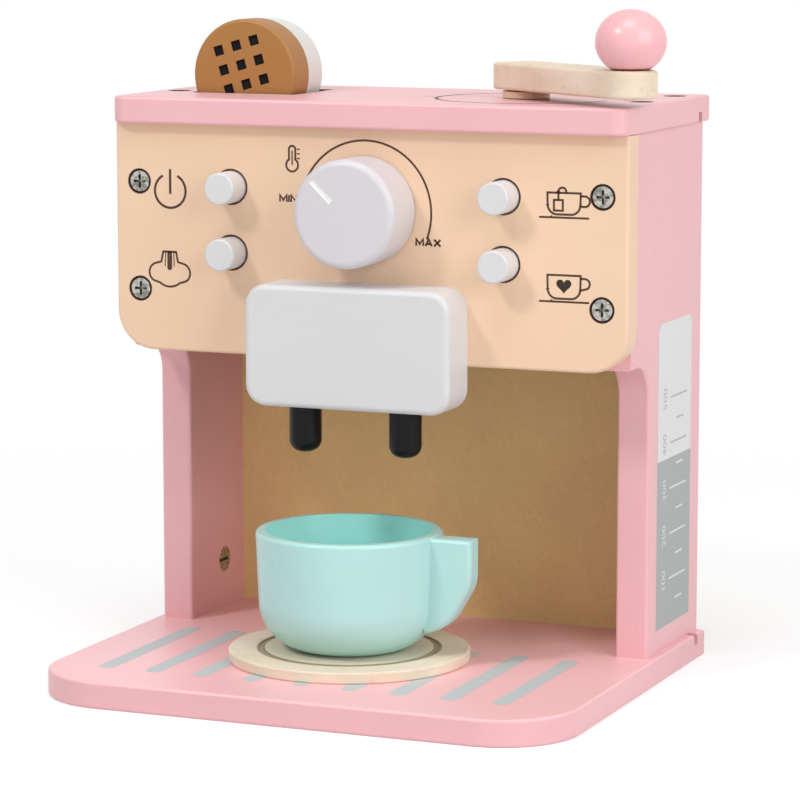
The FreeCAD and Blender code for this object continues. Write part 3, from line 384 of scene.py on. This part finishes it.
def cup_inside_bounce_light(s, colour):
    """Painted bounce light inside the cup: a deeper, more saturated mint within the round of its belly, for
    the light that the cup's walls reflect into it.
    """
    out = s.math("MAXIMUM", s.math("SUBTRACT", s.distance(SAUCER), BELLY_MIDDLE * MM), 0.0)
    down = s.math("MINIMUM", s.math("SUBTRACT", s.axes()[2], BELLY_HEIGHT * MM), 0.0)
    reach = s.math("ADD", s.math("MULTIPLY", out, out), s.math("MULTIPLY", down, down))
    return s.mix(s.math("LESS_THAN", reach, (BOWL_REACH * MM) ** 2), colour, MINT_BOUNCE_LIT)


# Painted light: the base's upper face gets a lighter pink than its sides and edges, for the light that falls
# on it from above.
def base_top_painted_light(s, colour):
    return s.mix(s.within(z=[BASE_FACE + d for d in BASE_SKIN]), colour, BASE_TOP_LIT_PINK)


pink_flat = paint("pink_board_flat", PINK, "X", burnt=top_burn)
pink_tall = paint("pink_board_tall", PINK, "Z")
LOOKS = {
    "base_plate": paint("pink_board_base", PINK, "X", extra=base_top_painted_light),
    "top_plate": pink_flat,
    "left_side_panel": pink_tall,
    "right_side_panel": pink_tall,
    "control_panel": paint("cream_board", CREAM, "X", 0.45, 0.07, burnt=panel_burn),
    "back_panel": fibre_board("brown_board", BOARD_BROWN),
    "brew_head": paint("white_block", WHITE, "X", 0.40),
    "dial_knob": paint("white_dial", DIAL_WHITE, "X", 0.40, extra=pointer),
    "pod_front": paint("brown_disc", POD_BROWN, "X", 0.50, 0.06, extra=pod_holes, dull=pod_marks),
    "pod_rear": paint("white_disc", POD_WHITE, "X", 0.45),
    "cup": paint("mint_cup", MINT, "Z", 0.30, 0.04, worn=0.2, extra=cup_inside_bounce_light),
    "saucer": bare_wood("saucer_wood", *SAUCER_WOOD, extra=saucer_ring),
    "crank_arm": bare_wood("arm_wood", *ARM_WOOD),
    "crank_knob": paint("knob_pink", BALL_PINK, "Z", 0.27, 0.02, worn=0.0, extra=knob_foot_painted_shadow),
}
white_button = paint("white_button", BUTTON_WHITE, "Y", 0.38)
black_turned = paint("black_turned", NOZZLE_BLACK, "Z", 0.34, 0.03, worn=0.2, shine=0.2)
pale_wood = bare_wood("hidden_wood", *HIDDEN_WOOD)
plated = steel("plated_steel")
METAL = ("base_bolts", "barrel_nuts", "dial_washer")
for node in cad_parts:
    if node.startswith("button_"):
        LOOKS[node] = white_button
    elif node.endswith("_nozzle"):
        LOOKS[node] = black_turned
    elif node.startswith("spring_") or "screw" in node or node in METAL:
        LOOKS[node] = plated
    LOOKS.setdefault(node, pale_wood)
for node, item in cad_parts.items():
    for place in item.material_slots:
        place.material = LOOKS[node]


# Flat prints lie on a face; each face gives a point in space for a point on the print
def on_panel(u, v):
    return (u, PANEL_FACE - PRINT_LIFT, v)


def on_side(u, v):
    return (SIDE_FACE + PRINT_LIFT, u, v)


def on_top(u, v):
    return (u, v, TOP_FACE + PRINT_LIFT)


def on_base(u, v):
    return (u, v, BASE_FACE + PRINT_LIFT)


OUTWARD = {on_panel: Vector((0, -1, 0)), on_side: Vector((1, 0, 0)), on_top: Vector((0, 0, 1)),
           on_base: Vector((0, 0, 1))}


def print_piece(name, face, shapes, look, body="housing"):
    """One print made of flat shapes, each a list of rows of points that form a strip or a filled outline."""
    vertices = []
    faces = []
    for kind, points in shapes:
        first = len(vertices)
        vertices += [Vector(face(*p)) * MM for p in points]
        if kind == "fill":
            faces.append(list(range(first, len(vertices))))
        else:
            half = len(points) // 2
            for i in range(first, first + half - 1):
                faces.append([i, i + 1, half + i + 1, half + i])
    mesh = bpy.data.meshes.new(name)
    mesh.from_pydata(vertices, [], faces)
    mesh.update()
    for polygon in mesh.polygons:
        if polygon.normal.dot(OUTWARD[face]) < 0:
            polygon.flip()
    mesh.update()
    mesh.materials.append(look)
    made = bpy.data.objects.new(name, mesh)
    bpy.context.collection.objects.link(made)
    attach(made, body)
    return made


def line(points, width, closed=False):
    """A flat line of even width along points, with mitred corners."""
    if closed:
        points = list(points) + [points[0]]
    count = len(points)
    left = []
    right = []
    for i, (x, y) in enumerate(points):
        before = points[i - 1] if i else (points[-2] if closed else None)
        after = points[i + 1] if i < count - 1 else (points[1] if closed else None)
        normals = []
        for a, b in ((before, (x, y)), ((x, y), after)):
            if a and b:
                run = Vector((b[0] - a[0], b[1] - a[1])).normalized()
                normals.append(Vector((-run.y, run.x)))
        across = sum(normals, Vector((0, 0))).normalized()
        across *= width / 2 / max(0.5, across.dot(normals[0]))
        left.append((x + across.x, y + across.y))
        right.append((x - across.x, y - across.y))
    return ("strip", left + right)


def arc(x, y, radius, start, end, steps=40, tall=None):
    tall = tall or radius
    return [(x + radius * cos(radians(start + (end - start) * i / steps)),
             y + tall * sin(radians(start + (end - start) * i / steps))) for i in range(steps + 1)]


def bar(x0, y0, x1, y1, width):
    """A filled straight bar with round ends."""
    turn = atan2(y1 - y0, x1 - x0) * 180 / pi
    far_end = arc(x1, y1, width / 2, turn - 90, turn + 90, 8)
    return ("fill", far_end + arc(x0, y0, width / 2, turn + 90, turn + 270, 8))


def words(text, size, x, y, turned):
    """Plain figures as flat filled shapes, middle at x, y, turned by degrees."""
    curve = bpy.data.curves.new("lettering", "FONT")
    curve.body = text
    curve.size = size
    curve.align_x = "CENTER"
    curve.align_y = "CENTER"
    curve.resolution_u = 3
    item = bpy.data.objects.new("lettering", curve)
    bpy.context.collection.objects.link(item)
    bpy.context.view_layer.update()
    mesh = bpy.data.meshes.new_from_object(item)
    turn = radians(turned)
    shapes = []
    for polygon in mesh.polygons:
        outline = []
        for index in polygon.vertices:
            u, v, _ = mesh.vertices[index].co
            outline.append((x + u * cos(turn) - v * sin(turn), y + u * sin(turn) + v * cos(turn)))
        shapes.append(("fill", outline))
    bpy.data.objects.remove(item)
    return shapes


LETTERS = {"M": [(0, 0), (0, 1), (0.55, 0.25), (1.1, 1), (1.1, 0)], "I": [(0, 0), (0, 1)],
           "N": [(0, 0), (0, 1), (0.9, 0), (0.9, 1)], "A": [(0, 0), (0.5, 1), (1, 0)],
           "X": [(0, 0), (1, 1)]}
EXTRA_STROKES = {"A": [(0.2, 0.32), (0.8, 0.32)], "X": [(0, 1), (1, 0)]}


def letters(text, x, y, tall):
    """Plain capital letters drawn as even strokes, starting at x on the line y."""
    shapes = []
    for letter in text:
        for strokes in (LETTERS, EXTRA_STROKES):
            if letter in strokes:
                shapes.append(line([(x + u * tall, y + v * tall) for u, v in strokes[letter]], THIN))
        x += tall * max(u for u, _ in LETTERS[letter]) + tall * 0.36
    return shapes


burnt_line = ink("burnt_line", BURNT, BURNT_PALE)

# Icons on the control panel: places and sizes in millimetres, angles in degrees
POWER_X = -79.5
POWER_RING = (POWER_X, 181.2, 6.4, 118, 422)
POWER_LINE = (POWER_X, 180.4, POWER_X, 189.0, 1.0)
TEA_CUP = (71.3, 84.0, 177.8, 185.6)
COFFEE_CUP = (71.5, 84.2, 147.4, 155.9)
TUBE_X = -29.2
TUBE_DASH = (-27.3, -26.1)
ARC_X = 0.2
ARC_RADIUS = 26.1
ARC_ENDS = (157, -21)
LETTER_HEIGHT = 2.5
MIN_PLACE = (-34.2, 178.7)
MAX_PLACE = (20.4, 164.4)

power = [line(arc(*POWER_RING), THIN + 0.15), bar(*POWER_LINE)]
print_piece("print_power", on_panel, power, burnt_line)

cloud = arc(-84.9, 150.3, 3.6, 100, 238, 14) + arc(-80.0, 149.2, 5.4, 222, 318, 16, 4.2)
cloud += arc(-75.1, 150.3, 3.6, -58, 80, 14)
steam = [line([(-82.7, 158.2), (-83.5, 154.4)] + cloud + [(-76.5, 154.4), (-77.3, 158.2)], THIN),
         line([(-83.0, 158.2), (-77.0, 158.2)], THIN), bar(-80.0, 152.2, -80.0, 157.6, 2.0),
         line([(-81.9, 152.6), (-81.7, 157.9)], 0.4), line([(-78.1, 152.6), (-78.3, 157.9)], 0.4)]
print_piece("print_steam", on_panel, steam, burnt_line)


def cup_outline(left, right, low, high):
    """A cup seen from the side, with its handle and the line of its saucer."""
    bend = 3.6
    body = [(left, high), (left + 0.1, low + bend)]
    body += arc(left + 0.1 + bend, low + bend, bend, 180, 262, 8)
    body += arc(right - 0.1 - bend, low + bend, bend, -82, 0, 8) + [(right, high)]
    handle = [(right, high - 1.0)] + arc(right + 1.6, high - 2.9, 1.9, 90, -90, 12)
    handle.append((right - 0.5, low + 3.1))
    return [line(body, THIN, True), line(handle, THIN),
            bar(left - 2.9, low - 1.1, right + 3.0, low - 1.1, 0.75),
            line([(left + 1.6, low - 0.4), (left + 1.6, low - 1.0)], THIN)]


tea = cup_outline(*TEA_CUP)
tea += [line([(73.8, 183.0), (77.2, 183.0), (77.2, 179.2), (73.8, 179.2)], THIN, True),
        line([(75.5, 183.0), (75.5, 186.0)] + arc(77.0, 186.0, 1.5, 180, 0, 10) + [(78.5, 185.6)], THIN)]
print_piece("print_tea", on_panel, tea, burnt_line)

HEART = (77.8, 152.2, 2.9)
heart = []
for step in range(48):
    t = 2 * pi * step / 48
    heart.append((HEART[0] + HEART[2] * sin(t) ** 3,
                  HEART[1] + HEART[2] * (13 * cos(t) - 5 * cos(2 * t) - 2 * cos(3 * t) - cos(4 * t)) / 16))
coffee = cup_outline(*COFFEE_CUP)
print_piece("print_coffee", on_panel, coffee, burnt_line)
print_piece("print_heart", on_panel, [("fill", heart)], ink("burnt_dark", srgb(30, 18, 12), srgb(60, 38, 26)))

tube = arc(TUBE_X, 192.4, 2.4, 122, 418, 24) + arc(TUBE_X, 198.2, 1.3, 0, 180, 10)
thermometer = [line(tube, THIN, True), bar(TUBE_X, 192.6, TUBE_X, 197.6, 0.55)]
for height in (194.9, 196.6, 198.3):
    thermometer.append(line([(x, height) for x in TUBE_DASH], 0.55))
print_piece("print_thermometer", on_panel, thermometer, burnt_line)
scale_arc = line(arc(ARC_X, ARC_Z, ARC_RADIUS, *ARC_ENDS, 80), THIN)
print_piece("print_arc", on_panel, [scale_arc], burnt_line)
print_piece("print_min", on_panel, letters("MIN", *MIN_PLACE, LETTER_HEIGHT), burnt_line)
print_piece("print_max", on_panel, letters("MAX", *MAX_PLACE, LETTER_HEIGHT), burnt_line)

rims = []
for side in (-1, 1):
    for height in BUTTON_Z:
        rims.append(line(arc(side * BUTTON_X, height, BUTTON_HOLE + 0.25, 0, 360, 48)[:-1], 0.5, True))
    for height in SCREW_Z:
        rims.append(line(arc(side * SCREW_X, height, SCREW_HOLE + 0.15, 0, 360, 40)[:-1], 0.35, True))
print_piece("print_hole_rims", on_panel, rims, burnt_line)

# The water gauge on the right side
GAUGE = (36.0, 75.5, 18.7, 82.4, 134.2)
grey = ink("gauge_grey", srgb(168, 172, 172), srgb(178, 182, 182), 0.5)
pale = ink("gauge_pale", srgb(226, 226, 226), srgb(218, 219, 220), 0.5)
front, rear, low, middle, high = GAUGE
corner = 4.0
upper = [(front, middle), (rear, middle)] + arc(rear - corner, high - corner, corner, 0, 90, 8)
upper += arc(front + corner, high - corner, corner, 90, 180, 8)
lower = [(front, low), (rear, low), (rear, middle), (front, middle)]
print_piece("gauge_upper", on_side, [("fill", upper)], pale)
print_piece("gauge_lower", on_side, [("fill", lower)], grey)


def above_gauge(u, v):
    return (SIDE_FACE + 2 * PRINT_LIFT, u, v)


OUTWARD[above_gauge] = OUTWARD[on_side]
TICK_TOP = 105.3
TICK_STEP = 8.63
TICK_WIDTH = 0.7
LONG_TICK = (51.0, 70.0)
SHORT_TICK = (58.0, 66.0)
FIGURE_SIZE = 5.6
FIGURE_Y = 44.5
marks_dark = []
marks_light = []
for count in range(10):
    height = TICK_TOP - TICK_STEP * count
    marks = marks_dark if height > middle else marks_light
    start, end = SHORT_TICK if count % 2 else LONG_TICK
    marks.append(bar(start, height, end, height, TICK_WIDTH))
    if count % 2 == 0:
        marks += words(str(500 - 50 * count), FIGURE_SIZE, FIGURE_Y, height, 90)
dark_ink = ink("gauge_dark_ink", srgb(176, 180, 182), srgb(196, 198, 200))
light_ink = ink("gauge_light_ink", srgb(226, 230, 230), srgb(206, 210, 210))
print_piece("gauge_marks_dark", above_gauge, marks_dark, dark_ink)
print_piece("gauge_marks_light", above_gauge, marks_light, light_ink)

# Drip stripes on the base and the ring round the crank
STRIPE_X = (-80.2, -61.0, -42.3, -22.0, -2.6, 17.0, 35.7, 55.3, 75.0)
STRIPE_ENDS = (-59.6, 10.6)
STRIPE_WIDTH = 6.6
stripes = [bar(x, STRIPE_ENDS[0], x, STRIPE_ENDS[1], STRIPE_WIDTH) for x in STRIPE_X]
stripe_ink = ink("stripe_ink", srgb(190, 199, 201), srgb(203, 201, 205), 0.5)
print_piece("drip_stripes", on_base, stripes, stripe_ink)
CRANK_RING = 33.5
ring = [line(arc(*PIVOT, CRANK_RING, 20, 352, 90), 1.3),
        line([(15.6, 41.6), (14.6, 45.8), (18.2, 43.4)], 0.5),
        line([(9.0, 30.0), (11.4, 31.6), (10.2, 34.4)], 0.4)]
print_piece("print_crank_ring", on_top, ring, ink("ring_ink", srgb(72, 58, 54), srgb(120, 94, 90)))

# Floor, light and camera
floor_mesh = bpy.data.meshes.new("floor")
FLOOR = 6.0
FLOOR_GLOW = 0.50
FLOOR_SHADE = 0.62
FADE = (0.14, 0.60)
AMBIENT = 0.33
floor_corners = [(-FLOOR, -FLOOR, 0), (FLOOR, -FLOOR, 0), (FLOOR, FLOOR, 0), (-FLOOR, FLOOR, 0)]
floor_mesh.from_pydata(floor_corners, [], [(0, 1, 2, 3)])
floor = bpy.data.objects.new("floor", floor_mesh)
bpy.context.collection.objects.link(floor)


def background(tree, light, plain):
    """Shows the plain surface to the camera and in reflections, and the lighting one elsewhere."""
    rays = tree.nodes.new("ShaderNodeLightPath")
    seen = None
    for name in ("Is Camera Ray", "Is Glossy Ray", "Is Transmission Ray"):
        if seen is None:
            seen = rays.outputs[name]
            continue
        either = tree.nodes.new("ShaderNodeMath")
        either.operation = "MAXIMUM"
        tree.links.new(seen, either.inputs[0])
        tree.links.new(rays.outputs[name], either.inputs[1])
        seen = either.outputs[0]
    mixed = tree.nodes.new("ShaderNodeMixShader")
    tree.links.new(seen, mixed.inputs[0])
    tree.links.new(light, mixed.inputs[1])
    tree.links.new(plain, mixed.inputs[2])
    return mixed.outputs[0]


look = bpy.data.materials.new("floor_white")
look.use_nodes = True
tree = look.node_tree
plain = tree.nodes["Principled BSDF"]
plain.inputs["Base Color"].default_value = (0.80, 0.80, 0.80, 1)
plain.inputs["Roughness"].default_value = 0.9
plain.inputs["Specular IOR Level"].default_value = 0.0
glow = tree.nodes.new("ShaderNodeEmission")
glow.inputs["Strength"].default_value = FLOOR_GLOW
dimmed = tree.nodes.new("ShaderNodeBsdfDiffuse")
dimmed.inputs["Color"].default_value = (FLOOR_SHADE, FLOOR_SHADE, FLOOR_SHADE, 1)
shadowed = tree.nodes.new("ShaderNodeAddShader")
tree.links.new(glow.outputs[0], shadowed.inputs[0])
tree.links.new(dimmed.outputs[0], shadowed.inputs[1])
far = tree.nodes.new("ShaderNodeEmission")
far.inputs["Strength"].default_value = 1.0
place = tree.nodes.new("ShaderNodeTexCoord")
length = tree.nodes.new("ShaderNodeVectorMath")
length.operation = "LENGTH"
tree.links.new(place.outputs["Object"], length.inputs[0])
fade = tree.nodes.new("ShaderNodeMapRange")
fade.inputs["From Min"].default_value = FADE[0]
fade.inputs["From Max"].default_value = FADE[1]
tree.links.new(length.outputs["Value"], fade.inputs["Value"])
shown = tree.nodes.new("ShaderNodeMixShader")
tree.links.new(fade.outputs["Result"], shown.inputs[0])
tree.links.new(shadowed.outputs[0], shown.inputs[1])
tree.links.new(far.outputs[0], shown.inputs[2])
surface = background(tree, plain.outputs[0], shown.outputs[0])
tree.links.new(surface, tree.nodes["Material Output"].inputs["Surface"])
floor_mesh.materials.append(look)

world = bpy.data.worlds.new("studio")
bpy.context.scene.world = world
world.use_nodes = True
tree = world.node_tree
soft = tree.nodes["Background"]
soft.inputs["Color"].default_value = (1, 1, 1, 1)
soft.inputs["Strength"].default_value = AMBIENT
white = tree.nodes.new("ShaderNodeBackground")
white.inputs["Strength"].default_value = 1.0
white.inputs["Color"].default_value = (1, 1, 1, 1)
surface = background(tree, soft.outputs[0], white.outputs[0])
tree.links.new(surface, tree.nodes["World Output"].inputs["Surface"])


def lamp(name, place, width, power):
    light = bpy.data.lights.new(name, "AREA")
    light.shape = "DISK"
    light.size = width
    light.energy = power
    made = bpy.data.objects.new(name, light)
    made.location = place
    made.rotation_euler = (AIM - Vector(place)).to_track_quat("-Z", "Y").to_euler()
    bpy.context.collection.objects.link(made)


# Each lamp's place in metres, width in metres and power in watts
LAMPS = {"key": ((-0.75, -1.25, 1.50), 0.40, 12.0), "top": ((0.10, -0.45, 1.80), 0.90, 9.0),
         "fill": ((1.35, -0.55, 0.75), 1.3, 13.0), "front": ((0.25, -1.90, 0.42), 0.9, 1.8)}
AIM = Vector((0, 0, 0.12))
for name, (place, width, power) in LAMPS.items():
    lamp(name, place, width, power)

LENS = 156.77
CAMERA_PLACE = (0.50185, -1.17888, 0.29315)
CAMERA_DOWN = 8.335
CAMERA_TURN = 22.586
view = bpy.data.cameras.new("camera")
view.sensor_width = 36.0
view.lens = LENS
view.clip_end = 50.0
camera = bpy.data.objects.new("camera", view)
camera.location = CAMERA_PLACE
camera.rotation_euler = (radians(90 - CAMERA_DOWN), 0, radians(CAMERA_TURN))
bpy.context.collection.objects.link(camera)
bpy.context.scene.camera = camera
bpy.context.scene.view_settings.view_transform = "Standard"
